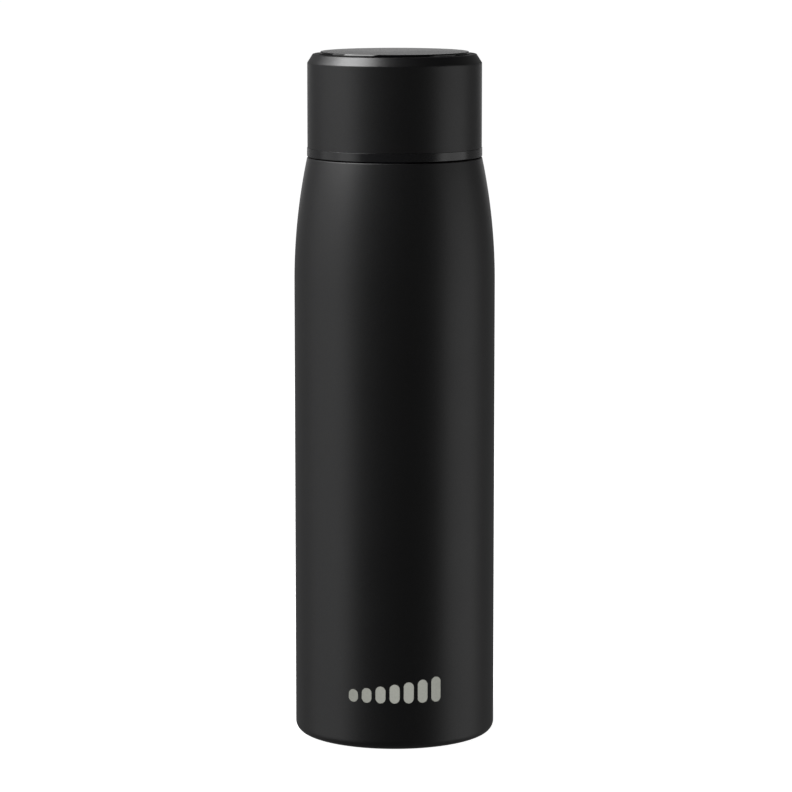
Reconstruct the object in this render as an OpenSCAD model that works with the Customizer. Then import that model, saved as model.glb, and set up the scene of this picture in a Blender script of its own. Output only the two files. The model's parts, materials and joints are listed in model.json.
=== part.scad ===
// Vacuum flask with a screw lid that shows the temperature of the drink.
// Millimetres, +Z up, origin at the centre of the base. The lid is drawn screwed shut.

/* [Body] */
// Diameter of the straight wall
body_d = 66.3; // [62:0.1:72]
// Height of the steel body, from the table to the ledge under the lid
body_h = 192.4; // [150:0.1:240]
// Height of the shoulder, which curves in from the straight wall to the ledge
shoulder_h = 41.2; // [36:0.1:60]
// Thickness of the outer shell's sheet
shell_t = 0.5; // [0.4:0.05:0.6]
// Thickness of the inner liner's sheet
liner_t = 0.4; // [0.3:0.05:0.4]
// Width of the vacuum between the shell and the liner
vacuum_gap = 2.3; // [1.8:0.1:4]

/* [Mouth and thread] */
// Bore of the mouth
mouth_d = 42.6; // [41:0.2:43]
// How far one turn lifts the lid
thread_lead = 6; // [5:0.5:7]
// Turns of the ridge on the neck
neck_turns = 1.3; // [1.1:0.05:1.3]
// Turns of the ridge inside the cap
cap_turns = 1.1; // [0.9:0.05:1.1]

/* [Lid] */
// Diameter of the lid's wall
lid_d = 57.4; // [56.8:0.1:60]
// Height of the lid, from its lower edge to the top of the lens
lid_h = 34.3; // [34:0.1:50]
// Dark line left open between the body and the lid
seam_gap = 0.3; // [0.3:0.1:1.5]
// Height of the glossy band at the foot of the lid
band_h = 2.8; // [2:0.1:4]
// How far the lens stands above the rim around it
lens_proud = 0.8; // [0.4:0.1:1.2]

/* [Hidden] */
$fa = 3;
$fs = 0.3;

// Body: radii from the axis, heights from the table
body_r = body_d / 2;
lid_r = lid_d / 2;
top_r = lid_r + 0.2;
top_round = 0.5;
straight_h = body_h - shoulder_h;
arc_rise = shoulder_h - top_round;
arc_drop = body_r - top_r;
shoulder_arc = (arc_rise * arc_rise + arc_drop * arc_drop) / (2 * arc_drop);
foot_round = 3.2;
recess_r = body_r - 6.5;
recess_h = 3;
bottom_t = 0.5;
pan_foot = 0.6;
vent_r = 1;
bead_r = 1.3;
cover_z = 1.2;
cover_t = 0.4;
cover_gap = 0.1;

// Getter, in a cup on the pan
getter_x = 14;
getter_r = 4.5;
getter_t = 1.4;
cup_r = getter_r + 0.3;
cup_t = 0.2;
cup_z = recess_h + bottom_t;

// Liner
liner_r = body_r - shell_t - vacuum_gap - liner_t;
liner_floor = 8;
liner_corner = 6;
floor_lift = 0.8;
floor_step = 2;
blend_z0 = straight_h + 6;
blend_z1 = body_h - 6;
foil_t = 0.1;
foil_gap = 0.05;
foil_z0 = 20;

// Neck
mouth_r = mouth_d / 2;
neck_t = 0.5;
neck_r = mouth_r + 1.3;
neck_top = body_h + 13.3;
rim_t = 0.5;
rim_top = neck_top + rim_t;

// Thread: the cap's ridge hangs under the neck's ridge, thread_drop below it
ridge_base = 1.8;
ridge_tip = 0.9;
ridge_taper = 30;
ridge_step = 7.5;
neck_ridge_h = 1.2;
neck_ridge_z = body_h + 3;
cap_ridge_h = 1.35;
cap_ridge_z = body_h + 2.6;
thread_drop = 1.6;
cap_ridge_start = (cap_ridge_z + thread_drop - neck_ridge_z) / thread_lead * 360;

// Seal, clamped between the rim and the ceiling of the cap
seal_t = 2;
seal_gap = 0.05;
seal_z = rim_top + seal_gap;
ceiling_z = seal_z + seal_t + seal_gap;

// Cap
lid_z = body_h + seam_gap;
sleeve_z = lid_z + band_h;
band_r = lid_r + 0.15;
cap_wall_in = mouth_r + 3.05;
cap_wall_out = cap_wall_in + 1.5;
deck_z = ceiling_z + 1.8;
boss_r = mouth_r - 1.5;
well_r = boss_r - 1.5;
boss_z = rim_top - 3.7;
plate_r = 15;
plate_t = 0.5;
plate_top = boss_z + plate_t;
gasket_t = 0.3;
boss_floor_z = plate_top + gasket_t;
boss_floor_t = 0.8;
window_r = 12.5;
rib_count = 12;
rib_w = 1.2;
rib_top = deck_z + 2;
bead_z = boss_z + 1.2;
bead_h = 1;
bead_t = 0.6;
sleeve_t = 0.5;
rib_out = lid_r - sleeve_t - 0.05;

// Bezel and lens, measured from the top down
lens_top = lid_z + lid_h;
lens_t = 1.5;
tape_t = 0.2;
rim_z = lens_top - lens_proud;
pocket_z = lens_top - lens_t - tape_t;
bezel_z = pocket_z - 1.95;
rim_r = lid_r - 1.8;
pocket_r = lid_r - 4;
lens_r = pocket_r - 0.15;
ledge_r = lid_r - 6.55;
spigot_out = lid_r - 1.95;
spigot_in = lid_r - 3.35;
spigot_z = bezel_z - 3.7;
flange_in = spigot_out + 0.2;

// Electronics, measured down from the lens
board_r = lid_r - 5.55;
board_t = 1.2;
board_top = lens_top - 4.9;
board_z = board_top - board_t;
cell_r = 12.25;
cell_t = 5;
tab_t = 0.2;
tray_t = 1.2;
tray_floor = board_z - 5.6;
tray_z = tray_floor - tray_t;
tray_r = lid_r - 2.15;
tray_wall_t = 1.4;
holder_r = cell_r + 0.35;
holder_t = 1.2;
post_r = 2;
post_ring = 20.6;
pilot_r = 0.85;
screw_r = 0.8;
hole_r = screw_r + 0.1;
duct_r = 1.4;
touch_y = -15.5;
head_r = 1.7;
head_h = 1.05;

// Display: two seven-segment digits, a degree ring and a C
glass_h = 2.8;
display_size = [28, 15];
display_y = 2;
digit_w = 5;
digit_h = 9;
bar_w = 1.1;
bar_gap = 0.35;
digit_x = [-9.2, -1.6];
letter_x = 9;
degree_x = 4.6;
degree_y = display_y + digit_h / 2 - 0.4;
film_t = 0.15;
led_size = [1.2, 0.6, 0.5];
bars = [
    [0, 1, 0], [0, 0, 0], [0, -1, 0],
    [-1, 0.5, 90], [1, 0.5, 90], [-1, -0.5, 90], [1, -0.5, 90]
];
letter_bars = [0, 2, 3, 5];

// Sensor wires: centre line of each, from the thermistor to the board
wire_r = 0.3;
wire_y = 0.6;
wire_x = 15.5;
sensor_r = 1.5;
sensor_top = plate_top + 1.5;
wire_route = [
    [0, sensor_top], [0, sensor_top + 2], [0.6, sensor_top + 2.8], [1.6, sensor_top + 3.2],
    [wire_x - 1.6, sensor_top + 3.2], [wire_x - 0.5, sensor_top + 3.6],
    [wire_x, sensor_top + 4.6], [wire_x, board_z]
];

// Solid of revolution about the axis, drawn as r across and z up
module turned() {
    rotate_extrude() children();
}

// Ring of rectangular section
module ring(r_in, r_out, z0, z1) {
    turned() translate([r_in, z0]) square([r_out - r_in, z1 - z0]);
}

// Disc about the axis
module disc(r, z0, z1) {
    translate([0, 0, z0]) cylinder(r = r, h = z1 - z0);
}

// Copies children around the axis
module around(count, radius, start = 0) {
    for (i = [0 : count - 1])
        rotate(start + i * 360 / count) translate([radius, 0, 0]) children();
}

// Points of a smooth step from radius r0 at z0 to radius r1 at z1
function blend(r0, r1, z0, z1, steps = 20) = [
    for (i = [0 : steps])
        let (t = i / steps)
        [r0 + (r1 - r0) * (1 - cos(180 * t)) / 2, z0 + (z1 - z0) * t]
];

// Points of an arc about (x, z), between two angles
function arc(x, z, r, from, to, steps = 6) = [
    for (i = [0 : steps])
        let (a = from + (to - from) * i / steps)
        [x + r * cos(a), z + r * sin(a)]
];

function reversed(list) = [for (i = [len(list) - 1 : -1 : 0]) list[i]];

// Wall of the body moved in by inset, from the foot's corner to the end of the shoulder.
// The shoulder is one long arc that leaves the straight wall at a tangent.
function body_wall(inset) =
    let (
        rise = shoulder_h - max(inset, top_round),
        turn = asin(rise / (shoulder_arc - inset))
    )
    concat(
        arc(body_r - foot_round, foot_round, foot_round - inset, -90, 0, 10),
        arc(body_r - shoulder_arc, straight_h, shoulder_arc - inset, 0, turn, 16)
    );

// Sides of a tube whose rings hold k points each: two triangles to a cell
function tube_faces(rings, k) = concat(
    [[for (j = [0 : k - 1]) j]],
    [
        for (i = [0 : rings - 2], j = [0 : k - 1])
            let (a = i * k + j, b = i * k + (j + 1) % k)
            each [[a, b, b + k], [a, b + k, a + k]]
    ],
    [[for (j = [k - 1 : -1 : 0]) (rings - 1) * k + j]]
);

// Thread ridge on a wall of radius root_r. A negative height points inwards.
module thread_ridge(root_r, height, z0, turns, start) {
    steps = ceil(turns * 360 / ridge_step);
    side = sign(height);
    embed = -0.2 * side;
    section = [
        [embed, -ridge_base / 2], [height, -ridge_tip / 2],
        [height, ridge_tip / 2], [embed, ridge_base / 2]
    ];
    points = [
        for (i = [0 : steps])
            let (
                angle = i * ridge_step,
                near_end = min(angle, steps * ridge_step - angle),
                grow = max(0.02, min(1, near_end / ridge_taper))
            )
            each [
                for (p = side > 0 ? reversed(section) : section)
                    let (r = root_r + (p[0] == embed ? embed : height * grow))
                    [
                        r * cos(start + angle),
                        r * sin(start + angle),
                        z0 + p[1] + thread_lead * angle / 360
                    ]
            ]
    ];
    polyhedron(points, tube_faces(steps + 1, 4), convexity = 6);
}

// Round wire along a route that lies in a plane of constant y
module wire(route, y) {
    sides = 8;
    last = len(route) - 1;
    function heading(i) = let (d = route[min(i + 1, last)] - route[i]) atan2(d[1], d[0]);
    points = [
        for (i = [0 : last])
            let (
                before = i == 0 ? heading(0) : heading(i - 1),
                after = i == last ? before : heading(i),
                lean = (before + after) / 2,
                stretch = 1 / cos((after - before) / 2)
            )
            each [
                for (j = [0 : sides - 1])
                    let (u = wire_r * stretch * cos(j * 360 / sides), v = wire_r * sin(j * 360 / sides))
                    [route[i][0] - u * sin(lean), y + v, route[i][1] + u * cos(lean)]
            ]
    ];
    polyhedron(points, tube_faces(last + 1, sides), convexity = 4);
}

// ---- Flask body ----

module outer_shell() {
    collar = recess_r + shell_t;
    collar_top = recess_h + bottom_t;
    color("#1c1c1e") turned() polygon(concat(
        [[recess_r, 0]],
        body_wall(0),
        arc(top_r - top_round, body_h - top_round, top_round, 15, 90),
        [[neck_r, body_h], [neck_r, body_h - shell_t]],
        reversed(body_wall(shell_t)),
        [[collar, shell_t], [collar, collar_top], [recess_r, collar_top]]
    ));
}

module threaded_neck() {
    color("#c9ccd0") union() {
        ring(neck_r - neck_t, neck_r, body_h - shell_t, neck_top);
        thread_ridge(neck_r, neck_ridge_h, neck_ridge_z, neck_turns, 0);
    }
}

// Wall, shoulder and mouth in one outline, with the rolled rim that closes the vacuum
module inner_liner() {
    foot_z = liner_floor + liner_corner;
    round = rim_t / 2;
    rim_mid = rim_top - round;
    color("#d3d5d8") turned() polygon(concat(
        [[liner_r, foot_z]],
        blend(liner_r, mouth_r, blend_z0, blend_z1),
        arc(mouth_r + round, rim_mid, round, 180, 90),
        arc(neck_r - round, rim_mid, round, 90, -90),
        [[mouth_r + liner_t, neck_top]],
        reversed(blend(liner_r + liner_t, mouth_r + liner_t, blend_z0, blend_z1)),
        [[liner_r + liner_t, foot_z]]
    ));
}

// Floor of the bottle, raised in the middle by a shallow step that stiffens it
module liner_bottom() {
    centre = liner_r + liner_t - liner_corner;
    top = liner_floor + liner_corner;
    step_r = centre - 3;
    lifted = liner_floor + floor_lift;
    color("#d3d5d8") turned() polygon(concat(
        [[0, lifted], [step_r - floor_step, lifted], [step_r, liner_floor]],
        arc(centre, top, liner_corner, -90, 0, 10),
        arc(centre, top, liner_corner - liner_t, 0, -90, 10),
        [[step_r, liner_floor + liner_t], [step_r - floor_step, lifted + liner_t]],
        [[0, lifted + liner_t]]
    ));
}

module copper_foil() {
    r = liner_r + liner_t + foil_gap;
    color("#b87333") ring(r, r + foil_t, foil_z0, straight_h - 2);
}

module outer_bottom() {
    color("#b9bcc0") difference() {
        union() {
            disc(recess_r, recess_h, recess_h + bottom_t);
            ring(recess_r - bottom_t, recess_r, pan_foot, recess_h);
        }
        disc(vent_r, 0, cup_z + 1);
    }
}

module getter_holder() {
    color("#b9bcc0") translate([getter_x, 0, 0]) union() {
        disc(cup_r, cup_z, cup_z + cup_t);
        ring(cup_r - cup_t, cup_r, cup_z + cup_t, cup_z + getter_t);
    }
}

module getter_pellet() {
    z = cup_z + cup_t;
    color("#55585c") translate([getter_x, 0, 0]) disc(getter_r, z, z + getter_t);
}

// Plug in the pump-out hole, with a drop of glass that hangs below the pan
module glass_seal() {
    color("#6d8f80") union() {
        disc(vent_r - 0.02, recess_h, cup_z);
        turned() polygon(concat([[0, recess_h]], arc(0, recess_h, bead_r, -90, 0)));
    }
}

module base_cover() {
    r = recess_r - bottom_t - cover_gap;
    color("#c4c7ca") union() {
        disc(r, cover_z, cover_z + cover_t);
        ring(r - cover_t, r, cover_z + cover_t, recess_h);
    }
}

// ---- Seal ----

// Flat ring with a thin lip that hangs inside the mouth
module seal_ring() {
    inner = boss_r + 0.15;
    outer = cap_wall_in - 0.45;
    round = 0.5;
    lip = mouth_r - 0.2;
    lip_t = 0.55;
    lip_z = seal_z - 1.1;
    color("#d8d6cf") turned() polygon(concat(
        [[inner, seal_z], [lip - lip_t, seal_z], [lip - lip_t, lip_z], [lip, lip_z], [lip, seal_z]],
        arc(outer - round, seal_z + round, round, -90, 0),
        arc(outer - round, seal_z + seal_t - round, round, 0, 90),
        [[inner, seal_z + seal_t]]
    ));
}

// ---- Lid ----

module threaded_cap() {
    root = 0.2;
    color("#202022") difference() {
        union() {
            ring(cap_wall_in, band_r, lid_z, sleeve_z);
            ring(cap_wall_in, cap_wall_out, sleeve_z, deck_z);
            ring(well_r, cap_wall_in, ceiling_z, deck_z);
            ring(well_r, boss_r, boss_floor_z, ceiling_z);
            ring(window_r, well_r, boss_floor_z, boss_floor_z + boss_floor_t);
            ring(plate_r + 0.2, boss_r, boss_z, boss_floor_z);
            ring(boss_r, boss_r + bead_t, bead_z, bead_z + bead_h);
            around(rib_count, cap_wall_out - root, 180 / rib_count)
                translate([0, -rib_w / 2, sleeve_z])
                cube([rib_out - cap_wall_out + root, rib_w, rib_top - sleeve_z]);
            around(3, post_ring) disc(post_r, deck_z, tray_z);
            thread_ridge(cap_wall_in, -cap_ridge_h, cap_ridge_z, cap_turns, cap_ridge_start);
        }
        around(3, post_ring) disc(pilot_r, deck_z + 0.4, tray_z + 1);
    }
}

module lid_sleeve() {
    color("#1c1c1e") turned() {
        translate([lid_r - sleeve_t, sleeve_z]) square([sleeve_t, bezel_z - sleeve_z]);
        translate([flange_in, bezel_z - sleeve_t]) square([lid_r - sleeve_t - flange_in, sleeve_t]);
    }
}

// Chamfered ring with a spigot that snaps into the sleeve by four hooks
module bezel_ring() {
    hook_angle = 16;
    hook_z = bezel_z - sleeve_t - 0.1;
    hook_out = spigot_out + 0.9;
    hook_tip = 0.4;
    hook_h = 1.6;
    color("#0e0e10") union() {
        turned() polygon([
            [ledge_r, bezel_z], [lid_r, bezel_z], [rim_r, rim_z],
            [pocket_r, rim_z], [pocket_r, pocket_z], [ledge_r, pocket_z]
        ]);
        ring(spigot_in, spigot_out, spigot_z, bezel_z);
        for (a = [0 : 90 : 270])
            rotate(a - hook_angle / 2) rotate_extrude(angle = hook_angle)
                polygon([
                    [spigot_out, hook_z - hook_h], [spigot_out, hook_z],
                    [hook_out, hook_z], [hook_out, hook_z - hook_tip]
                ]);
    }
}

module display_lens() {
    round = 0.35;
    z = lens_top - lens_t;
    color("#09090b") turned() polygon(concat(
        [[0, z], [lens_r, z]],
        arc(lens_r - round, lens_top - round, round, 0, 90),
        [[0, lens_top]]
    ));
}

module lens_tape() {
    color("#303033") ring(ledge_r + 0.4, lens_r - 0.2, pocket_z, pocket_z + tape_t);
}

// One bar of a seven-segment digit, lying along x, with pointed ends
module bar(length) {
    half = length / 2;
    tip = bar_w / 2;
    polygon([
        [-half, 0], [-half + tip, tip], [half - tip, tip],
        [half, 0], [half - tip, -tip], [-half + tip, -tip]
    ]);
}

// Puts children at the place and angle of each bar of a digit
module bar_places(picked = [0 : 6]) {
    for (i = picked)
        translate([bars[i][0] * digit_w / 2, bars[i][1] * digit_h / 2 + display_y, 0])
            rotate(bars[i][2]) children();
}

// Every window of the display, as places for children
module all_bars() {
    for (x = digit_x) translate([x, 0, 0]) bar_places() children();
    translate([letter_x, 0, 0]) bar_places(letter_bars) children();
}

module display_reflector() {
    z = board_top;
    size = [display_size[0], display_size[1], glass_h];
    color("#e9e9e6") difference() {
        translate([-size[0] / 2, display_y - size[1] / 2, z]) cube(size);
        translate([0, 0, z - 1]) linear_extrude(glass_h + 2) all_bars() bar(digit_h / 2 - bar_gap);
        translate([degree_x, degree_y, z - 1]) cylinder(r = 0.8, h = glass_h + 2);
    }
}

module display_film() {
    z = board_top + glass_h;
    color("#3c3c40") translate([-display_size[0] / 2, display_y - display_size[1] / 2, z])
        cube([display_size[0], display_size[1], film_t]);
}

module segment_leds() {
    dot = led_size[1];
    color("#f2e9b8") union() {
        all_bars() translate([-led_size[0] / 2, -led_size[1] / 2, board_top]) cube(led_size);
        translate([degree_x - dot / 2, degree_y - dot / 2, board_top]) cube([dot, dot, led_size[2]]);
    }
}

module circuit_board() {
    color("#1f5f3a") difference() {
        disc(board_r, board_z, board_top);
        around(3, post_ring, 60) disc(hole_r, board_z - 1, board_top + 1);
    }
}

module controller_chip() {
    size = [4, 4, 0.9];
    color("#26262a") translate([-size[0] / 2, -touch_y, board_z - size[2]]) cube(size);
}

// Coil that carries the touch signal from the board to the underside of the lens
module touch_spring() {
    turns = 4;
    steps = 14;
    sides = 6;
    coil_r = 2.2;
    thin = 0.2;
    rest = thin + 0.02;
    low = board_top + rest;
    high = lens_top - lens_t - rest;
    count = turns * steps;
    points = [
        for (i = [0 : count])
            let (a = i * 360 / steps, z = low + (high - low) * i / count)
            each [
                for (j = [0 : sides - 1])
                    let (b = -j * 360 / sides, r = coil_r + thin * cos(b))
                    [r * cos(a), r * sin(a), z + thin * sin(b)]
            ]
    ];
    color("#d9c27a") translate([0, touch_y, 0])
        polyhedron(points, tube_faces(count + 1, sides), convexity = 8);
}

// The can's closed side faces up, the smaller negative cap faces down
module coin_cell() {
    z = tray_floor + tab_t;
    cap_t = 0.5;
    color("#c8cacd") union() {
        disc(cell_r - 1.2, z, z + cap_t);
        disc(cell_r, z + cap_t, z + cell_t);
    }
}

module positive_tab() {
    size = [16, 6];
    leg = 3;
    z = tray_floor + tab_t + cell_t;
    color("#d0b45a") translate([-size[0] / 2, -size[1] / 2, z]) union() {
        cube([size[0], size[1], tab_t]);
        cube([leg, size[1], board_z - z]);
    }
}

module negative_tab() {
    reach = holder_r + holder_t + 0.6;
    pad_r = 5;
    w = 4;
    color("#d0b45a") union() {
        disc(pad_r, tray_floor, tray_floor + tab_t);
        translate([-w / 2, -reach, tray_floor]) cube([w, reach, tab_t]);
        translate([-w / 2, -reach, tray_floor]) cube([w, tab_t, board_z - tray_floor]);
    }
}

// Tray with a round holder for the cell, posts for the board and a duct for the wires
module electronics_tray() {
    slot = [4.4, holder_t + 0.3, 4];
    holder_h = 3;
    color("#3a3b3e") difference() {
        union() {
            disc(tray_r, tray_z, tray_floor);
            ring(tray_r - tray_wall_t, tray_r, tray_floor, spigot_z - 0.2);
            ring(holder_r, holder_r + holder_t, tray_floor, tray_floor + holder_h);
            around(3, post_ring, 60) disc(post_r, tray_floor, board_z);
        }
        around(3, post_ring, 60) disc(pilot_r, tray_floor + 0.6, board_z + 1);
        around(3, post_ring) disc(hole_r, tray_z - 1, tray_floor + 1);
        translate([wire_x, 0, 0]) disc(duct_r, tray_z - 1, tray_floor + 1);
        translate([-slot[0] / 2, -holder_r - holder_t - 0.1, tray_floor]) cube(slot);
    }
}

// Screw with a cross slot, its head on seat_z, reaching down by reach
module screw(seat_z, reach) {
    slot = [2, 0.36, 1];
    slot_depth = 0.55;
    difference() {
        union() {
            disc(screw_r, seat_z - reach, seat_z);
            disc(head_r, seat_z, seat_z + head_h);
        }
        for (a = [0, 90])
            rotate(a) translate([-slot[0] / 2, -slot[1] / 2, seat_z + head_h - slot_depth]) cube(slot);
    }
}

module tray_screws() {
    color("#9fa2a6") around(3, post_ring) screw(tray_floor, 4.2);
}

module board_screws() {
    color("#9fa2a6") around(3, post_ring, 60) screw(board_top, 5);
}

// Foam in the plug and under the tray, with a trench for the wires
module insulation_pad() {
    trench = [wire_x + 2.4, 3, 4.4];
    color("#e4e2dc") difference() {
        union() {
            disc(well_r - 0.2, sensor_top + 0.7, deck_z);
            disc(cap_wall_out - 0.35, deck_z, tray_z - 0.2);
        }
        around(3, post_ring) disc(post_r + 0.2, deck_z - 1, tray_z);
        translate([-1, -trench[1] / 2, sensor_top]) cube(trench);
        translate([wire_x, 0, 0]) disc(duct_r, sensor_top, tray_z);
    }
}

module sensor_plate() {
    color("#cfd1d4") disc(plate_r, boss_z, plate_top);
}

module sensor_gasket() {
    color("#26262a") ring(window_r + 0.1, plate_r - 0.2, plate_top, boss_floor_z);
}

module thermistor() {
    color("#1d1d1f") disc(sensor_r, plate_top, sensor_top);
}

module thermal_potting() {
    color("#8c8f94") difference() {
        disc(window_r, plate_top, sensor_top + 0.6);
        disc(sensor_r, boss_z, sensor_top);
        for (y = [-wire_y, wire_y])
            translate([0, y, 0]) disc(wire_r + 0.02, boss_z, sensor_top + 1);
    }
}

module thermistor_leads() {
    color("#b23b34") for (y = [-wire_y, wire_y]) wire(wire_route, y);
}

outer_shell();
threaded_neck();
inner_liner();
liner_bottom();
copper_foil();
outer_bottom();
getter_holder();
getter_pellet();
glass_seal();
base_cover();
seal_ring();
threaded_cap();
lid_sleeve();
bezel_ring();
display_lens();
lens_tape();
display_film();
display_reflector();
segment_leds();
circuit_board();
controller_chip();
touch_spring();
coin_cell();
positive_tab();
negative_tab();
electronics_tray();
tray_screws();
board_screws();
insulation_pad();
sensor_plate();
sensor_gasket();
thermistor();
thermal_potting();
thermistor_leads();
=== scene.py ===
"""Looks of the vacuum flask: fine meshes, procedural materials, soft light and the camera."""
import json
import math

import bpy
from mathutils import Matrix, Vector


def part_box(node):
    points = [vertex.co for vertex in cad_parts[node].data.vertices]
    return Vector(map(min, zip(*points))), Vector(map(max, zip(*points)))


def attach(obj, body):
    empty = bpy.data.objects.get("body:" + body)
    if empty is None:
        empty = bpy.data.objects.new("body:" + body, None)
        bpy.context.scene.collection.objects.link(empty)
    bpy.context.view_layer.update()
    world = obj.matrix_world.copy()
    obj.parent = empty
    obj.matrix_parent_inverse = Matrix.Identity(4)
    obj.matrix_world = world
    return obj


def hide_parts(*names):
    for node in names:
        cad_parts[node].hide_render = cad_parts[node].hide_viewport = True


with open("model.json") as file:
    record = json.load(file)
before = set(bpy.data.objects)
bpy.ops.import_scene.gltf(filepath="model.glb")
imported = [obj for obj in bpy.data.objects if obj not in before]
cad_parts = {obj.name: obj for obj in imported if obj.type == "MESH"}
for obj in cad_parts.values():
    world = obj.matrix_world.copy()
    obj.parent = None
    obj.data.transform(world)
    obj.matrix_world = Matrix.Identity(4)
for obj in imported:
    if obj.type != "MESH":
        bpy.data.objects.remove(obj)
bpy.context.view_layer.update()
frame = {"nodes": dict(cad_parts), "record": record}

MM = 0.001

slot_of = {row["node"]: row["material_slot"] for row in frame["record"]["subparts"]}


# ---- Sizes, in millimetres: places come from the frame, thicknesses and small steps are named here ----

def span(node):
    """(outer radius, lowest height, highest height) of a round CAD node."""
    low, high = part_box(node)
    return high.x / MM, low.z / MM, high.z / MM


body_r, _, body_h = span("outer_shell")
crest_r, neck_z, neck_top = span("threaded_neck")
liner_out, liner_z, rim_top = span("inner_liner")
floor_z = span("liner_bottom")[1]
seal_r, _, seal_top = span("seal_ring")
band_r, lid_z, _ = span("threaded_cap")
lid_r, sleeve_z, bezel_z = span("lid_sleeve")
rim_z = span("bezel_ring")[2]
lens_r, lens_z, lens_top = span("display_lens")
cover_r, cover_z, recess_top = span("base_cover")
pan_r, _, pan_top = span("outer_bottom")
plate_r, plate_z, plate_top = span("sensor_plate")
tray_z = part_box("electronics_tray")[0].z / MM

# Body: sheet, roundings of the foot's outer and inner edges, shoulder, and the ledge under the lid
SHELL_T = 0.5
FOOT_ROUND = 3.2
FOOT_LIP = 0.3
SHOULDER_H = 41.2
LEDGE_ROUND = 0.5
LEDGE_STEP = 0.2
top_r = lid_r + LEDGE_STEP
straight_h = body_h - SHOULDER_H

# Liner and neck. The rim joins them, from the mouth's bore out to the neck's outer face.
# The liner's shoulder starts BLEND above the start of the shell's and ends BLEND below the ledge
LINER_T = 0.4
LINER_CORNER = 6
BLEND = 6
NECK_T = 0.5
NECK_RIDGE_H = 1.2
RIM_W = 1.3
neck_r = crest_r - NECK_RIDGE_H
mouth_r = neck_r - RIM_W

# Cap: the threaded wall's inner face lies CAP_WALL_STEP outside the mouth's bore
CAP_RIDGE_H = 1.35
CAP_WALL_T = 1.5
CAP_WALL_STEP = 3.05
cap_wall = mouth_r + CAP_WALL_STEP


# ---- Outlines: points are (radius, height), and a third number is a corner's rounding radius ----

def arc(r, z, radius, start, end, steps=8):
    """Points of an arc about (r, z), between two angles in degrees."""
    turns = [math.radians(start + (end - start) * i / steps) for i in range(steps + 1)]
    return [(r + radius * math.cos(a), z + radius * math.sin(a)) for a in turns]


def rounded(corners, steps=5):
    """A closed outline whose corners (r, z, radius) become arcs. A corner with no radius stays sharp."""
    points = []
    for i, corner in enumerate(corners):
        here = Vector(corner[:2])
        if len(corner) == 2:
            points.append(tuple(here))
            continue
        before = (Vector(corners[i - 1][:2]) - here).normalized()
        after = (Vector(corners[(i + 1) % len(corners)][:2]) - here).normalized()
        half = before.angle(after) / 2
        centre = here + (before + after).normalized() * corner[2] / math.sin(half)
        first = here + before * corner[2] / math.tan(half) - centre
        last = here + after * corner[2] / math.tan(half) - centre
        turn = math.atan2(first.x * last.y - first.y * last.x, first.dot(last))
        start = math.atan2(first.y, first.x)
        for k in range(steps + 1):
            a = start + turn * k / steps
            points.append((centre.x + corner[2] * math.cos(a), centre.y + corner[2] * math.sin(a)))
    return points


def body_wall(inset):
    """Foot corner, straight wall and long shoulder arc of the shell, moved in by inset."""
    rise = SHOULDER_H - LEDGE_ROUND
    drop = body_r - top_r
    radius = (rise * rise + drop * drop) / (2 * drop)
    top = SHOULDER_H - max(inset, LEDGE_ROUND)
    end = math.degrees(math.asin(top / (radius - inset)))
    foot = arc(body_r - FOOT_ROUND, FOOT_ROUND, FOOT_ROUND - inset, -90, 0, 14)
    shoulder = arc(body_r - radius, straight_h, radius - inset, 0, end, 40)
    return foot + shoulder


def liner_wall(thick):
    """Shoulder of the liner, a smooth step from the wall to the mouth, moved out from the bore by thick."""
    z0, z1 = straight_h + BLEND, body_h - BLEND
    wide = liner_out - LINER_T + thick
    narrow = mouth_r + thick
    steps = 40
    points = []
    for i in range(steps + 1):
        step = (1 - math.cos(math.pi * i / steps)) / 2
        points.append((wide + (narrow - wide) * step, z0 + (z1 - z0) * i / steps))
    return points


# ---- Screw thread: one lead, two ridges that never touch ----

# Each ridge starts at its height above the ledge. The cap's ridge hangs THREAD_DROP under the neck's
LEAD = 6
NECK_RIDGE_Z = 3
NECK_TURNS = 1.3
CAP_RIDGE_Z = 2.6
CAP_TURNS = 1.1
THREAD_DROP = 1.6

# Half widths of a ridge at its foot and on top, the angle in which its ends run out, and mesh rows a turn
RIDGE_FOOT = 0.9
RIDGE_TOP = 0.4
RIDGE_TAPER = math.radians(30)
TURN_ROWS = 48


def smooth(t):
    """Smooth step from 0 to 1."""
    t = min(1, max(0, t))
    return t * t * (3 - 2 * t)


def ridge(height, z0, turns, start):
    """Function (angle, z) giving how far a wall swells where the ridge runs over it."""
    length = turns * 2 * math.pi
    passes = math.ceil(turns)

    def swell(angle, z):
        best = 0
        for k in range(passes):
            along = (angle - start) % (2 * math.pi) + 2 * math.pi * k
            if along > length:
                continue
            off = abs(z - z0 - LEAD * along / (2 * math.pi))
            across = smooth((RIDGE_FOOT - off) / (RIDGE_FOOT - RIDGE_TOP))
            ends = smooth(min(along, length - along) / RIDGE_TAPER)
            best = max(best, across * ends)
        return height * best

    return swell


def thread_strip(points, r, z0, z1, bottom, top, swell):
    """Adds the points of a wall between two rings, bottom and top, and gives its faces.

    The wall's rows follow the screw, so a ridge runs along them and not across them.
    """
    segments = len(bottom)
    row_h = LEAD / TURN_ROWS
    rows = math.ceil((z1 - z0 + LEAD) / row_h) + 1
    columns = []
    for j in range(segments):
        a = 2 * math.pi * j / segments
        column = []
        for i in range(rows):
            z = z0 - LEAD + i * row_h + LEAD * j / segments
            if z0 + 1e-6 < z < z1 - 1e-6:
                column.append(len(points))
                out = r + swell(a, z)
                points.append((out * math.cos(a), out * math.sin(a), z))
            else:
                column.append(bottom[j] if z < z1 - 1e-6 else top[j])
        columns.append(column)
    columns.append(columns[0][TURN_ROWS:] + [top[0]] * TURN_ROWS)
    faces = []
    for here, there in zip(columns, columns[1:]):
        for i in range(rows - 1):
            face = list(dict.fromkeys([here[i], there[i], there[i + 1], here[i + 1]]))
            if len(face) > 2:
                faces.append(face)
    return faces


# ---- Mesh building ----

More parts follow.
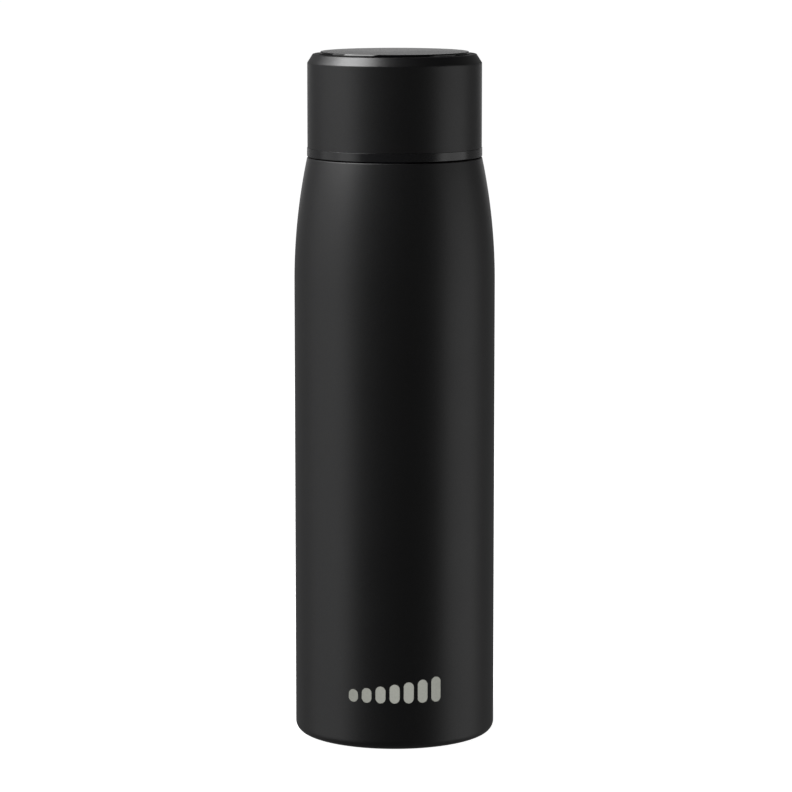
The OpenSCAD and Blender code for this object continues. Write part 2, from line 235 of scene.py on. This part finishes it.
# Columns round the axis, and how far from a corner the points lie that hold a side's shading
SEGMENTS = 192
HOLD = 0.12


def mesh_object(name, points, faces, smooth_angle=35):
    mesh = bpy.data.meshes.new(name)
    mesh.from_pydata([tuple(c * MM for c in p) for p in points], [], faces)
    mesh.validate()
    mesh.shade_smooth()
    mesh.set_sharp_from_angle(angle=math.radians(smooth_angle))
    made = bpy.data.objects.new(name, mesh)
    bpy.context.scene.collection.objects.link(made)
    return made


def held(outline):
    """The outline with two more points on each long side, which keep the shading of the side flat."""
    points = []
    for i, (r, z) in enumerate(outline):
        points.append((r, z))
        r2, z2 = outline[(i + 1) % len(outline)]
        length = math.hypot(r2 - r, z2 - z)
        if length > 3 * HOLD:
            for t in (HOLD / length, 1 - HOLD / length):
                points.append((r + (r2 - r) * t, z + (z2 - z) * t))
    return points


def revolve(outline, swell=None, wall=None, segments=SEGMENTS):
    """Points and faces of a closed outline turned about the axis.

    The long side at radius wall bears the ridge that swell describes.
    """
    outline = held(outline)
    points, rings, faces = [], [], []
    for r, z in outline:
        if r < 1e-6:
            rings.append([len(points)] * segments)
            points.append((0, 0, z))
            continue
        rings.append(range(len(points), len(points) + segments))
        for j in range(segments):
            a = 2 * math.pi * j / segments
            points.append((r * math.cos(a), r * math.sin(a), z))
    for i, low in enumerate(rings):
        (r, z), (r2, z2) = outline[i], outline[(i + 1) % len(rings)]
        high = rings[(i + 1) % len(rings)]
        at_wall = swell and max(abs(r - wall), abs(r2 - wall)) < 1e-6
        if at_wall and abs(z2 - z) > LEAD:
            if z2 > z:
                faces += thread_strip(points, r, z, z2, low, high, swell)
            else:
                faces += [side[::-1] for side in thread_strip(points, r, z2, z, high, low, swell)]
            continue
        for j in range(segments):
            k = (j + 1) % segments
            face = list(dict.fromkeys([low[j], low[k], high[k], high[j]]))
            if len(face) > 2:
                faces.append(face)
    return points, faces


def joined(*parts):
    """Several (points, faces) as one."""
    points, faces = [], []
    for more, sides in parts:
        base = len(points)
        points += more
        faces += [[base + i for i in side] for side in sides]
    return points, faces


def turned_about(part, angle, x=0):
    """part moved out to x and turned about the axis, in degrees."""
    c, s = math.cos(math.radians(angle)), math.sin(math.radians(angle))
    points = [((p[0] + x) * c - p[1] * s, (p[0] + x) * s + p[1] * c, p[2]) for p in part[0]]
    return points, part[1]


def block(x0, x1, width, z0, z1):
    """A box along x, centred on the axis plane."""
    w = width / 2
    points = [(x, y, z) for z in (z0, z1) for x, y in ((x0, -w), (x1, -w), (x1, w), (x0, w))]
    sides = [[3, 2, 1, 0], [4, 5, 6, 7], [0, 1, 5, 4], [1, 2, 6, 5], [2, 3, 7, 6], [3, 0, 4, 7]]
    return points, sides


def piece(name, part, body, node, material):
    """A finished piece that rides on a body. It stands for a CAD node, or for none."""
    made = mesh_object(name, *part)
    made.data.materials.append(material)
    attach(made, body)
    if node:
        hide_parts(node)
    return made


# ---- Materials ----

def map_range(tree, source, start, end, low, high):
    """source mapped from start..end to low..high."""
    node = tree.nodes.new("ShaderNodeMapRange")
    for socket, value in zip(("From Min", "From Max", "To Min", "To Max"), (start, end, low, high)):
        node.inputs[socket].default_value = value
    tree.links.new(source, node.inputs["Value"])
    return node.outputs["Result"]


class Paint:
    """A material with a Principled shader and short calls for what feeds it."""

    def __init__(self, name, colour, roughness, metallic=0.0, **sockets):
        self.material = bpy.data.materials.new(name)
        self.material.use_nodes = True
        self.tree = self.material.node_tree
        self.shader = self.tree.nodes["Principled BSDF"]
        self.shader.inputs["Base Color"].default_value = (*colour, 1)
        self.shader.inputs["Roughness"].default_value = roughness
        self.shader.inputs["Metallic"].default_value = metallic
        for socket, value in sockets.items():
            self.shader.inputs[socket.replace("_", " ")].default_value = value
        self.place = self.add("ShaderNodeTexCoord").outputs["Object"]

    def add(self, kind, **settings):
        node = self.tree.nodes.new(kind)
        for key, value in settings.items():
            setattr(node, key, value)
        return node

    def link(self, source, target):
        self.tree.links.new(source, target)

    def lathe_place(self, along=1.0, round_scale=0.0):
        """A place that changes with radius and height but hardly round the axis, for turning marks."""
        split = self.add("ShaderNodeSeparateXYZ")
        self.link(self.place, split.inputs[0])
        flat = self.add("ShaderNodeCombineXYZ")
        self.link(split.outputs["X"], flat.inputs["X"])
        self.link(split.outputs["Y"], flat.inputs["Y"])
        radius = self.add("ShaderNodeVectorMath", operation="LENGTH")
        self.link(flat.outputs[0], radius.inputs[0])
        side = self.add("ShaderNodeMath", operation="MULTIPLY")
        side.inputs[1].default_value = round_scale
        self.link(split.outputs["X"], side.inputs[0])
        rings = self.add("ShaderNodeCombineXYZ")
        self.link(radius.outputs["Value"], rings.inputs["X"])
        self.link(side.outputs[0], rings.inputs["Y"])
        self.link(split.outputs["Z"], rings.inputs["Z"])
        return rings.outputs[0]

    def noise(self, scale, detail=3.0, rough=0.55, place=None):
        node = self.add("ShaderNodeTexNoise")
        node.inputs["Scale"].default_value = scale
        node.inputs["Detail"].default_value = detail
        node.inputs["Roughness"].default_value = rough
        self.link(place or self.place, node.inputs["Vector"])
        return node.outputs["Fac"]

    def spread(self, source, low, high, start=0.3, end=0.7):
        """source mapped from its usual range to low..high."""
        return map_range(self.tree, source, start, end, low, high)

    def two_tone(self, source, dark, light, start=0.35, end=0.65):
        """source as a colour between dark and light."""
        ramp = self.add("ShaderNodeValToRGB")
        ramp.color_ramp.elements[0].position = start
        ramp.color_ramp.elements[0].color = (*dark, 1)
        ramp.color_ramp.elements[1].position = end
        ramp.color_ramp.elements[1].color = (*light, 1)
        self.link(source, ramp.inputs["Fac"])
        return ramp.outputs["Color"]

    def colour(self, source):
        self.link(source, self.shader.inputs["Base Color"])
        return self

    def roughness(self, source):
        self.link(source, self.shader.inputs["Roughness"])
        return self

    def bump(self, source, height, strength=1.0):
        """Bump of a height in metres. Bumps stack in the order of the calls."""
        node = self.add("ShaderNodeBump")
        node.inputs["Strength"].default_value = strength
        node.inputs["Distance"].default_value = height
        self.link(source, node.inputs["Height"])
        normal = self.shader.inputs["Normal"]
        if normal.is_linked:
            self.link(normal.links[0].from_socket, node.inputs["Normal"])
        self.link(node.outputs["Normal"], normal)
        return self


def powder_coat():
    """Matte black paint: fine orange peel over a dense grain, and a faint drift in gloss."""
    paint = Paint("powder_coat", (0.012, 0.012, 0.0125), 0.41)
    grain = paint.noise(2600, 2)
    peel = paint.noise(650, 2)
    drift = paint.noise(22, 3)
    paint.colour(paint.two_tone(grain, (0.010, 0.010, 0.0105), (0.015, 0.015, 0.0155)))
    paint.roughness(paint.spread(drift, 0.38, 0.44))
    paint.bump(peel, 4e-6).bump(grain, 3e-6)
    return paint.material


def gloss_bezel():
    """Polished black ring with the fine marks of the cutter."""
    paint = Paint("gloss_bezel", (0.006, 0.006, 0.0065), 0.34, IOR=1.7)
    marks = paint.noise(5200, 2, place=paint.lathe_place(round_scale=0.05))
    paint.roughness(paint.spread(marks, 0.34, 0.38))
    paint.bump(marks, 3e-7)
    return paint.material


def lens_window():
    """Black window with a hard, even gloss."""
    paint = Paint("lens_window", (0.003, 0.003, 0.0035), 0.06, IOR=1.5)
    wave = paint.noise(30, 1)
    paint.roughness(paint.spread(wave, 0.05, 0.07))
    return paint.material


def moulded_black(name="moulded_black", gloss=0.27, ior=1.5):
    """Moulded polypropylene with a light spark-eroded grain."""
    paint = Paint(name, (0.012, 0.012, 0.013), gloss, IOR=ior)
    grain = paint.noise(1800, 3)
    paint.colour(paint.two_tone(grain, (0.010, 0.010, 0.011), (0.016, 0.016, 0.017)))
    paint.roughness(paint.spread(paint.noise(60), gloss - 0.03, gloss + 0.04))
    paint.bump(grain, 3e-6)
    return paint.material


def turned_steel(name="turned_steel", tone=0.56, gloss=0.26, mark=2.5e-6):
    """Stainless steel with turning marks round the axis and a faint cloudiness."""
    paint = Paint(name, (tone, tone, tone * 1.01), gloss, metallic=1.0)
    rings = paint.noise(3600, 3, place=paint.lathe_place(round_scale=0.02))
    cloud = paint.noise(45, 3)
    paint.colour(paint.two_tone(cloud, (tone * 0.92,) * 3, (tone, tone * 1.01, tone * 1.02)))
    paint.roughness(paint.spread(rings, gloss - 0.05, gloss + 0.09))
    paint.bump(rings, mark)
    return paint.material


def silicone_rubber():
    """Pale, slightly see-through silicone."""
    glow = {"Subsurface_Weight": 0.25, "Subsurface_Scale": 0.0008, "Subsurface_Radius": (1, 0.95, 0.88)}
    paint = Paint("silicone_rubber", (0.72, 0.71, 0.67), 0.42, **glow)
    bloom = paint.noise(260, 3)
    paint.colour(paint.two_tone(bloom, (0.66, 0.65, 0.61), (0.76, 0.75, 0.71)))
    paint.roughness(paint.spread(bloom, 0.38, 0.5))
    paint.bump(paint.noise(1500, 2), 3e-6)
    return paint.material


def creased_foil():
    """Copper foil wrapped by hand, with shallow creases."""
    paint = Paint("creased_foil", (0.75, 0.38, 0.23), 0.24, metallic=1.0)
    crease = paint.add("ShaderNodeTexVoronoi", feature="DISTANCE_TO_EDGE")
    crease.inputs["Scale"].default_value = 90
    paint.link(paint.place, crease.inputs["Vector"])
    tarnish = paint.noise(35, 4)
    paint.colour(paint.two_tone(tarnish, (0.6, 0.27, 0.15), (0.8, 0.43, 0.27)))
    paint.roughness(paint.spread(tarnish, 0.2, 0.36))
    paint.bump(crease.outputs["Distance"], 8e-5)
    return paint.material


def closed_foam():
    """White closed-cell foam."""
    paint = Paint("closed_foam", (0.8, 0.79, 0.75), 0.85)
    cells = paint.add("ShaderNodeTexVoronoi")
    cells.inputs["Scale"].default_value = 1400
    paint.link(paint.place, cells.inputs["Vector"])
    paint.colour(paint.two_tone(cells.outputs["Distance"], (0.84, 0.83, 0.8), (0.7, 0.69, 0.65)))
    paint.bump(cells.outputs["Distance"], 6e-5)
    return paint.material


def speckled(name, colour, roughness, scale=900, bump=4e-6, metallic=0.0, spread=0.15, **sockets):
    """A plain finish with a fine speckle in its colour, gloss and surface."""
    paint = Paint(name, colour, roughness, metallic, **sockets)
    grain = paint.noise(scale, 3)
    dark = tuple(c * (1 - spread) for c in colour)
    light = tuple(min(1, c * (1 + spread)) for c in colour)
    paint.colour(paint.two_tone(grain, dark, light))
    paint.roughness(paint.spread(grain, max(0.02, roughness - 0.05), roughness + 0.06))
    paint.bump(grain, bump)
    return paint.material


def solder_mask():
    """Green board: darker bare laminate where broad copper areas end."""
    paint = Paint("solder_mask", (0.02, 0.16, 0.07), 0.3)
    tracks = paint.add("ShaderNodeTexBrick")
    tracks.inputs["Scale"].default_value = 260
    tracks.inputs["Mortar Size"].default_value = 0.05
    tracks.inputs["Color1"].default_value = (0.02, 0.17, 0.075, 1)
    tracks.inputs["Color2"].default_value = (0.015, 0.13, 0.055, 1)
    tracks.inputs["Mortar"].default_value = (0.008, 0.07, 0.03, 1)
    paint.link(paint.place, tracks.inputs["Vector"])
    paint.colour(tracks.outputs["Color"])
    paint.bump(tracks.outputs["Fac"], 1e-5)
    return paint.material


black_paint = powder_coat()
bezel_black = gloss_bezel()
window_black = lens_window()
band_black = moulded_black("band_black", 0.2, 1.6)
inner_black = moulded_black()
steel = turned_steel()
bright_steel = turned_steel("bright_steel", 0.66, 0.18, 1.5e-6)
silicone = silicone_rubber()
mark_ink = speckled("mark_ink", (0.36, 0.365, 0.325), 0.55, 1800, 2e-6, spread=0.05)

finishes = {
    "copper": creased_foil(),
    "getter_metal": speckled("getter_metal", (0.22, 0.22, 0.24), 0.6, 2200, 1e-5, 1.0),
    "seal_glass": speckled("seal_glass", (0.25, 0.4, 0.34), 0.12, 700, 2e-6, IOR=1.52),
    "tape": speckled("tape", (0.05, 0.05, 0.053), 0.8, 2500, 8e-6),
    "smoked_film": speckled("smoked_film", (0.06, 0.06, 0.066), 0.35, 3000, 2e-6),
    "white_plastic": speckled("white_plastic", (0.8, 0.8, 0.78), 0.45, 1500, 3e-6, spread=0.04),
    "led_chip": speckled("led_chip", (0.85, 0.72, 0.25), 0.4, 4000, 4e-6),
    "board_green": solder_mask(),
    "chip_black": speckled("chip_black", (0.02, 0.02, 0.022), 0.55, 5000, 6e-6),
    "gilt_contact": speckled("gilt_contact", (0.78, 0.58, 0.27), 0.22, 1600, 2e-6, 1.0, 0.08),
    "screw_steel": speckled("screw_steel", (0.58, 0.58, 0.6), 0.25, 2400, 2e-6, 1.0, 0.08),
    "white_foam": closed_foam(),
    "gasket_rubber": speckled("gasket_rubber", (0.02, 0.02, 0.02), 0.7, 1700, 6e-6),
    "potting": speckled("potting", (0.16, 0.165, 0.175), 0.5, 500, 2e-5),
    "red_wire": speckled("red_wire", (0.5, 0.03, 0.025), 0.35, 2600, 3e-6),
    "bare_steel": steel,
    "black_polypropylene": inner_black,
    "black_paint": black_paint,
    "gloss_black": bezel_black,
    "lens_black": window_black,
    "silicone": silicone,
}
for node, made in frame["nodes"].items():
    made.data.materials.clear()
    made.data.materials.append(finishes[slot_of[node]])


# ---- Flask body ----

PAINT_RISE = 1


def outer_shell():
    """Foot, wall, shoulder and ledge, and the collar that the pan is welded into."""
    inner = pan_r
    collar = inner + SHELL_T
    outline = (
        arc(inner + FOOT_LIP, FOOT_LIP, FOOT_LIP, 180, 270, 4)
        + body_wall(0)
        + arc(top_r - LEDGE_ROUND, body_h - LEDGE_ROUND, LEDGE_ROUND, 15, 90, 6)
        + [(neck_r, body_h), (neck_r, body_h - SHELL_T)]
        + list(reversed(body_wall(SHELL_T)))
        + [(collar, SHELL_T), (collar, pan_top), (inner, pan_top)]
    )
    return revolve(outline)


def threaded_neck():
    """Neck with the ridge that the lid screws on."""
    edge = 0.15
    outline = (
        [(neck_r - NECK_T, neck_z), (neck_r, neck_z)]
        + arc(neck_r - edge, neck_top - edge, edge, 0, 90, 4)
        + [(neck_r - NECK_T, neck_top)]
    )
    return revolve(outline, ridge(NECK_RIDGE_H, body_h + NECK_RIDGE_Z, NECK_TURNS, 0), neck_r)


def inner_liner():
    """Bottle wall, shoulder and mouth, with the round rim that closes over the neck."""
    half = (rim_top - neck_top) / 2
    mid = rim_top - half
    outline = (
        [(liner_out - LINER_T, liner_z)]
        + liner_wall(0)
        + arc(mouth_r + half, mid, half, 180, 90)
        + arc(neck_r - half, mid, half, 90, -90)
        + [(mouth_r + LINER_T, neck_top)]
        + list(reversed(liner_wall(LINER_T)))
        + [(liner_out, liner_z)]
    )
    return revolve(outline[::-1])


def liner_bottom():
    """Floor of the bottle, with the shallow step that stiffens it."""
    centre = liner_out - LINER_CORNER
    top = floor_z + LINER_CORNER
    low_r = centre - 3
    high_r = low_r - 2
    raised = floor_z + 0.8
    outline = (
        [(0, raised), (high_r, raised), (low_r, floor_z)]
        + arc(centre, top, LINER_CORNER, -90, 0, 12)
        + arc(centre, top, LINER_CORNER - LINER_T, 0, -90, 12)
        + [(low_r, floor_z + LINER_T), (high_r, raised + LINER_T), (0, raised + LINER_T)]
    )
    return revolve(outline)


def base_cover():
    """Thin disc with a raised middle, turned up at its edge."""
    sheet = 0.4
    raised = cover_z + 0.25
    low_r = cover_r - 6
    high_r = cover_r - 7.2
    outline = rounded([
        (0, raised), (high_r, raised, 0.8), (low_r, cover_z, 0.8),
        (cover_r, cover_z, 0.35), (cover_r, recess_top), (cover_r - sheet, recess_top),
        (cover_r - sheet, cover_z + sheet), (low_r, cover_z + sheet, 0.8),
        (high_r, raised + sheet, 0.8), (0, raised + sheet)
    ])
    return revolve(outline)


piece("flask_shell", outer_shell(), "flask", "outer_shell", black_paint)
neck = piece("flask_neck", threaded_neck(), "flask", "threaded_neck", steel)
piece("flask_liner", inner_liner(), "flask", "inner_liner", bright_steel)
piece("flask_floor", liner_bottom(), "flask", "liner_bottom", bright_steel)
piece("flask_base_cover", base_cover(), "flask", "base_cover", steel)


def repaint(made, material, chosen):
    """Gives the faces whose centre passes the test a second material."""
    made.data.materials.append(material)
    for side in made.data.polygons:
        if chosen(side.center / MM):
            side.material_index = 1


# The paint of the ledge runs a little way up the root of the neck
repaint(neck, black_paint, lambda c: c.z < body_h + PAINT_RISE)


# ---- Seal and lid ----

BAND_DEPTH = 0.35


def seal_ring():
    """Flat ring, with a lip that hangs into the mouth."""
    inner = mouth_r - 1.35
    lip = mouth_r - 0.2
    lip_in = lip - 0.55
    low = seal_top - 2
    lip_z = low - 1.1
    outline = rounded([
        (inner, low, 0.2), (lip_in, low), (lip_in, lip_z, 0.2), (lip, lip_z, 0.2),
        (lip, low, 0.12), (seal_r, low, 0.5), (seal_r, seal_top, 0.5), (inner, seal_top, 0.2)
    ])
    return revolve(outline)


def plug_outline(ceiling, deck):
    """Well, boss and bead of the plug, from the deck down round to the ceiling."""
    boss_r = mouth_r - 1.5
    well_r = boss_r - 1.5
    window_r = 12.5
    pocket = plate_r + 0.2
    shelf = plate_top + 0.3
    well_z = shelf + 0.8
    bead_r = boss_r + 0.6
    return [
        (well_r, deck), (well_r, well_z, 0.4), (window_r, well_z, 0.2), (window_r, shelf, 0.2),
        (pocket, shelf), (pocket, plate_z, 0.2), (boss_r, plate_z, 0.5),
        (boss_r, plate_z + 1.2, 0.1), (bead_r, plate_z + 1.5, 0.25), (bead_r, plate_z + 2, 0.25),
        (boss_r, plate_z + 2.3, 0.1), (boss_r, ceiling, 0.3)
    ]


def cap_ribs(wall_out, deck):
    """Upright ribs that hold the sleeve off the cap's wall."""
    count = 12
    root, tip = wall_out - 0.2, lid_r - 0.55
    thick = 1.2
    rib = block(root, tip, thick, sleeve_z, deck + 2)
    return [turned_about(rib, (i + 0.5) * 360 / count) for i in range(count)]


def tray_posts(deck):
    """Hollow posts that the tray is screwed to."""
    count = 3
    from_axis = 20.6
    bore, out = 0.85, 2
    outline = rounded([(bore, deck), (out, deck), (out, tray_z, 0.15), (bore, tray_z, 0.15)])
    post = revolve(outline, segments=32)
    return [turned_about(post, i * 360 / count, from_axis) for i in range(count)]


def threaded_cap():
    """Band, threaded wall, ceiling and plug in one outline, with the ribs and posts inside the lid."""
    ceiling = seal_top + 0.05
    deck = ceiling + 1.8
    wall_out = cap_wall + CAP_WALL_T
    outline = rounded(plug_outline(ceiling, deck) + [
        (cap_wall, ceiling, 0.4), (cap_wall, lid_z, 0.5), (band_r, lid_z, 0.25), (band_r, sleeve_z, 0.06),
        (wall_out, sleeve_z, 0.3), (wall_out, deck, 0.3), (wall_out - 1, deck)
    ])
    start = (CAP_RIDGE_Z + THREAD_DROP - NECK_RIDGE_Z) / LEAD * 2 * math.pi
    screw = ridge(CAP_RIDGE_H, body_h + CAP_RIDGE_Z, CAP_TURNS, start)
    body = revolve(outline, lambda angle, z: -screw(angle, z), cap_wall)
    return joined(body, *cap_ribs(wall_out, deck), *tray_posts(deck))


def lid_sleeve():
    """Thin wall with a flange turned in at its top, under the bezel."""
    sheet = 0.5
    inner = lid_r - sheet
    flange_in = lid_r - 1.75
    outline = rounded([
        (inner, sleeve_z, 0.1), (lid_r, sleeve_z, 0.06), (lid_r, bezel_z, 0.1),
        (flange_in, bezel_z, 0.05), (flange_in, bezel_z - sheet, 0.05), (inner, bezel_z - sheet, 0.3)
    ])
    return revolve(outline)


def bezel_ring():
    """Chamfered ring with the spigot that snaps into the sleeve."""
    pocket = lens_r + 0.15
    seat = lens_z - 0.2
    ledge = lid_r - 6.55
    chamfer_in = lid_r - 1.8
    spigot_in = lid_r - 3.35
    spigot_out = lid_r - 1.95
    spigot_z = bezel_z - 3.7
    outline = rounded([
        (ledge, bezel_z, 0.1), (spigot_in, bezel_z, 0.1), (spigot_in, spigot_z, 0.15),
        (spigot_out, spigot_z, 0.15), (spigot_out, bezel_z), (lid_r, bezel_z, 0.06),
        (chamfer_in, rim_z, 0.35), (pocket, rim_z, 0.12), (pocket, seat, 0.05), (ledge, seat, 0.1)
    ], steps=8)
    return revolve(outline)


def display_lens():
    """Round window with a bevelled edge."""
    bevel_in = lens_r - 0.25
    bevel_z = lens_top - 0.42
    outline = rounded([
        (0, lens_z), (lens_r, lens_z, 0.1), (lens_r, bevel_z, 0.08),
        (bevel_in, lens_top, 0.08), (0, lens_top)
    ])
    return revolve(outline)


def sensor_plate():
    """Steel disc with a shallow dish that faces the drink."""
    dish_z = plate_z + 0.15
    dish_r = plate_r - 4.8
    flat_r = plate_r - 4
    outline = rounded([
        (0, dish_z), (dish_r, dish_z, 0.6), (flat_r, plate_z, 0.6),
        (plate_r, plate_z, 0.2), (plate_r, plate_top, 0.05), (0, plate_top)
    ])
    return revolve(outline)


piece("mouth_seal", seal_ring(), "seal", "seal_ring", silicone)
cap = piece("lid_cap", threaded_cap(), "lid", "threaded_cap", inner_black)
piece("lid_wall", lid_sleeve(), "lid", "lid_sleeve", black_paint)
piece("lid_bezel", bezel_ring(), "lid", "bezel_ring", bezel_black)
piece("lid_window", display_lens(), "lid", "display_lens", window_black)
piece("lid_sensor_plate", sensor_plate(), "lid", "sensor_plate", bright_steel)

# The band at the foot of the lid is polished, the rest of the cap is not
repaint(cap, band_black, lambda c: math.hypot(c.x, c.y) > band_r - BAND_DEPTH)


# ---- A plain scale of rising bars, printed low on the front ----

# Heights of the foot and of the tallest bar's top, and how far the ink stands out of the wall and into it
MARK_LOW = 15.9
MARK_HIGH = 24.3
MARK_BARS = 7
MARK_PITCH = 4.65
BAR_W = 3.3
INK = 0.03


def curved_bar(middle, width, z0, z1):
    """A thin capsule of ink, in columns that follow the wall. middle is its place round from the front."""
    half = width / 2
    columns = 24
    points, faces = [], []
    for i in range(columns + 1):
        side = -half * math.cos(math.pi * i / columns)
        cut = half - math.sqrt(max(0, half * half - side * side))
        a = -math.pi / 2 + (middle + side) / body_r
        for r in (body_r - INK, body_r + INK):
            for z in (z0 + cut, z1 - cut):
                points.append((r * math.cos(a), r * math.sin(a), z))
    for i in range(columns):
        back_low, back_high, low, high = range(4 * i, 4 * i + 4)
        for a, b in ((low, high), (high, back_high), (back_high, back_low), (back_low, low)):
            faces.append([b, a, a + 4, b + 4])
    last = 4 * columns
    return points, faces + [[0, 2, 3, 1], [last, last + 1, last + 3, last + 2]]


def level_marks():
    """Bars from half the full height up to the full height, centred on the front."""
    bars = []
    last = MARK_BARS - 1
    for i in range(MARK_BARS):
        top = MARK_LOW + (MARK_HIGH - MARK_LOW) * (1 + i / last) / 2
        bars.append(curved_bar((i - last / 2) * MARK_PITCH, BAR_W, MARK_LOW, top))
    return joined(*bars)


marks = piece("flask_level_marks", level_marks(), "flask", None, mark_ink)


# ---- Stage, light and camera ----

# Floor: side in metres, how far it lies under the foot in millimetres, brightness to the camera
FLOOR_SIZE = 40
FLOOR_DROP = 0.2
FLOOR_GLOW = 1.0

# Room that the flask reflects: brightness in front and behind, and the share that is left overhead,
# which is reached between two heights on the sky's unit sphere
ROOM_FRONT = 0.044
ROOM_BACK = 0.17
ROOM_TOP = 0.17
ROOM_RISE = (0.1, 0.7)

# Softboxes, BOX_DISTANCE metres away: azimuth and elevation in degrees, width and height in metres, radiance
RIG = {
    "left_tall": (78, 0, 1.2, 1.6, 0.44),
    "left_slim": (66, 0, 0.4, 1.6, 0.36),
    "left_high": (75, 48, 0.6, 0.8, 5.5),
    "left_behind": (106, 38, 0.5, 0.5, 1.5),
    "left_top": (77, 56, 0.6, 0.4, 2.5),
    "right_tall": (-84, -14, 0.85, 1.2, 0.71),
    "right_slim": (-64, 0, 0.3, 1.2, 0.25),
    "back_low": (180, 5.7, 1.2, 0.15, 0.54),
}
PRINT_FILL = (0, 20, 1.0, 1.0, 3.7)
BOX_DISTANCE = 1.0

# Camera: place, lens and sensor in millimetres, tilt down in radians
EYE = (0.45, -1205.9, 285.9)
TILT = 0.14257
LENS = 166.63
SENSOR_W = 36


def stage_floor():
    """White floor, plain to the camera and left out of the flask's reflections, as on a light table."""
    bpy.ops.mesh.primitive_plane_add(size=FLOOR_SIZE, location=(0, 0, -FLOOR_DROP * MM))
    floor = bpy.context.object
    floor.name = "floor"
    floor.visible_glossy = floor.visible_diffuse = floor.visible_shadow = False
    material = bpy.data.materials.new("stage_white")
    material.use_nodes = True
    tree = material.node_tree
    tree.nodes.clear()
    add, link = tree.nodes.new, tree.links.new
    glow = add("ShaderNodeEmission")
    glow.inputs["Strength"].default_value = FLOOR_GLOW
    pale = add("ShaderNodeBsdfDiffuse")
    pale.inputs["Color"].default_value = (0.6, 0.6, 0.6, 1)
    both = add("ShaderNodeAddShader")
    link(glow.outputs[0], both.inputs[0])
    link(pale.outputs[0], both.inputs[1])
    clear = add("ShaderNodeBsdfTransparent")
    below = add("ShaderNodeNewGeometry")
    side = add("ShaderNodeMixShader")
    link(below.outputs["Backfacing"], side.inputs[0])
    link(both.outputs[0], side.inputs[1])
    link(clear.outputs[0], side.inputs[2])
    link(side.outputs[0], add("ShaderNodeOutputMaterial").inputs["Surface"])
    floor.data.materials.append(material)


def studio_world():
    """White to the camera. What the flask reflects is a dim room, darkest in front and overhead."""
    world = bpy.data.worlds.new("studio")
    bpy.context.scene.world = world
    world.use_nodes = True
    tree = world.node_tree
    tree.nodes.clear()
    add, link = tree.nodes.new, tree.links.new
    split = add("ShaderNodeSeparateXYZ")
    link(add("ShaderNodeTexCoord").outputs["Generated"], split.inputs[0])
    both = add("ShaderNodeMath")
    both.operation = "MULTIPLY"
    link(map_range(tree, split.outputs["Y"], -1, 1, ROOM_FRONT, ROOM_BACK), both.inputs[0])
    link(map_range(tree, split.outputs["Z"], *ROOM_RISE, 1, ROOM_TOP), both.inputs[1])
    room = add("ShaderNodeBackground")
    link(both.outputs[0], room.inputs["Strength"])
    white = add("ShaderNodeBackground")
    for plain in (room, white):
        plain.inputs["Color"].default_value = (1, 1, 1, 1)
    mix = add("ShaderNodeMixShader")
    link(add("ShaderNodeLightPath").outputs["Is Camera Ray"], mix.inputs[0])
    link(room.outputs[0], mix.inputs[1])
    link(white.outputs[0], mix.inputs[2])
    link(mix.outputs[0], add("ShaderNodeOutputWorld").inputs["Surface"])


def softbox(name, azimuth, elevation, width, height, radiance):
    """A soft panel that faces the middle of the flask. Azimuth is counted from the camera, to the left."""
    a, e = math.radians(azimuth), math.radians(elevation)
    aim = Vector((0, 0, body_h / 2 * MM))
    out = Vector((-math.sin(a) * math.cos(e), -math.cos(a) * math.cos(e), math.sin(e)))
    data = bpy.data.lights.new(name, "AREA")
    data.shape = "RECTANGLE"
    data.size, data.size_y = width, height
    data.energy = radiance * math.pi * width * height
    made = bpy.data.objects.new(name, data)
    made.location = aim + out * BOX_DISTANCE
    made.rotation_euler = (-out).to_track_quat("-Z", "Y").to_euler()
    made.visible_camera = False
    bpy.context.scene.collection.objects.link(made)
    return made


def light_only(lamp, target, state):
    """Keeps a lamp's light to the target (INCLUDE) or off it (EXCLUDE)."""
    group = bpy.data.collections.new(lamp.name + "_link")
    group.objects.link(target)
    group.collection_objects[0].light_linking.link_state = state
    lamp.light_linking.receiver_collection = group


def studio_camera():
    data = bpy.data.cameras.new("camera")
    data.sensor_width = SENSOR_W
    data.lens = LENS
    data.clip_start, data.clip_end = 0.05, 60
    camera = bpy.data.objects.new("camera", data)
    camera.location = Vector(EYE) * MM
    camera.rotation_euler = (math.pi / 2 - TILT, 0, 0)
    bpy.context.scene.collection.objects.link(camera)
    bpy.context.scene.camera = camera


stage_floor()
studio_world()
studio_camera()

# The softboxes suit black paint but light the print unevenly, so it has a lamp of its own
for name, setting in RIG.items():
    light_only(softbox(name, *setting), marks, "EXCLUDE")
light_only(softbox("print_fill", *PRINT_FILL), marks, "INCLUDE")
bpy.context.scene.view_settings.view_transform = "Standard"
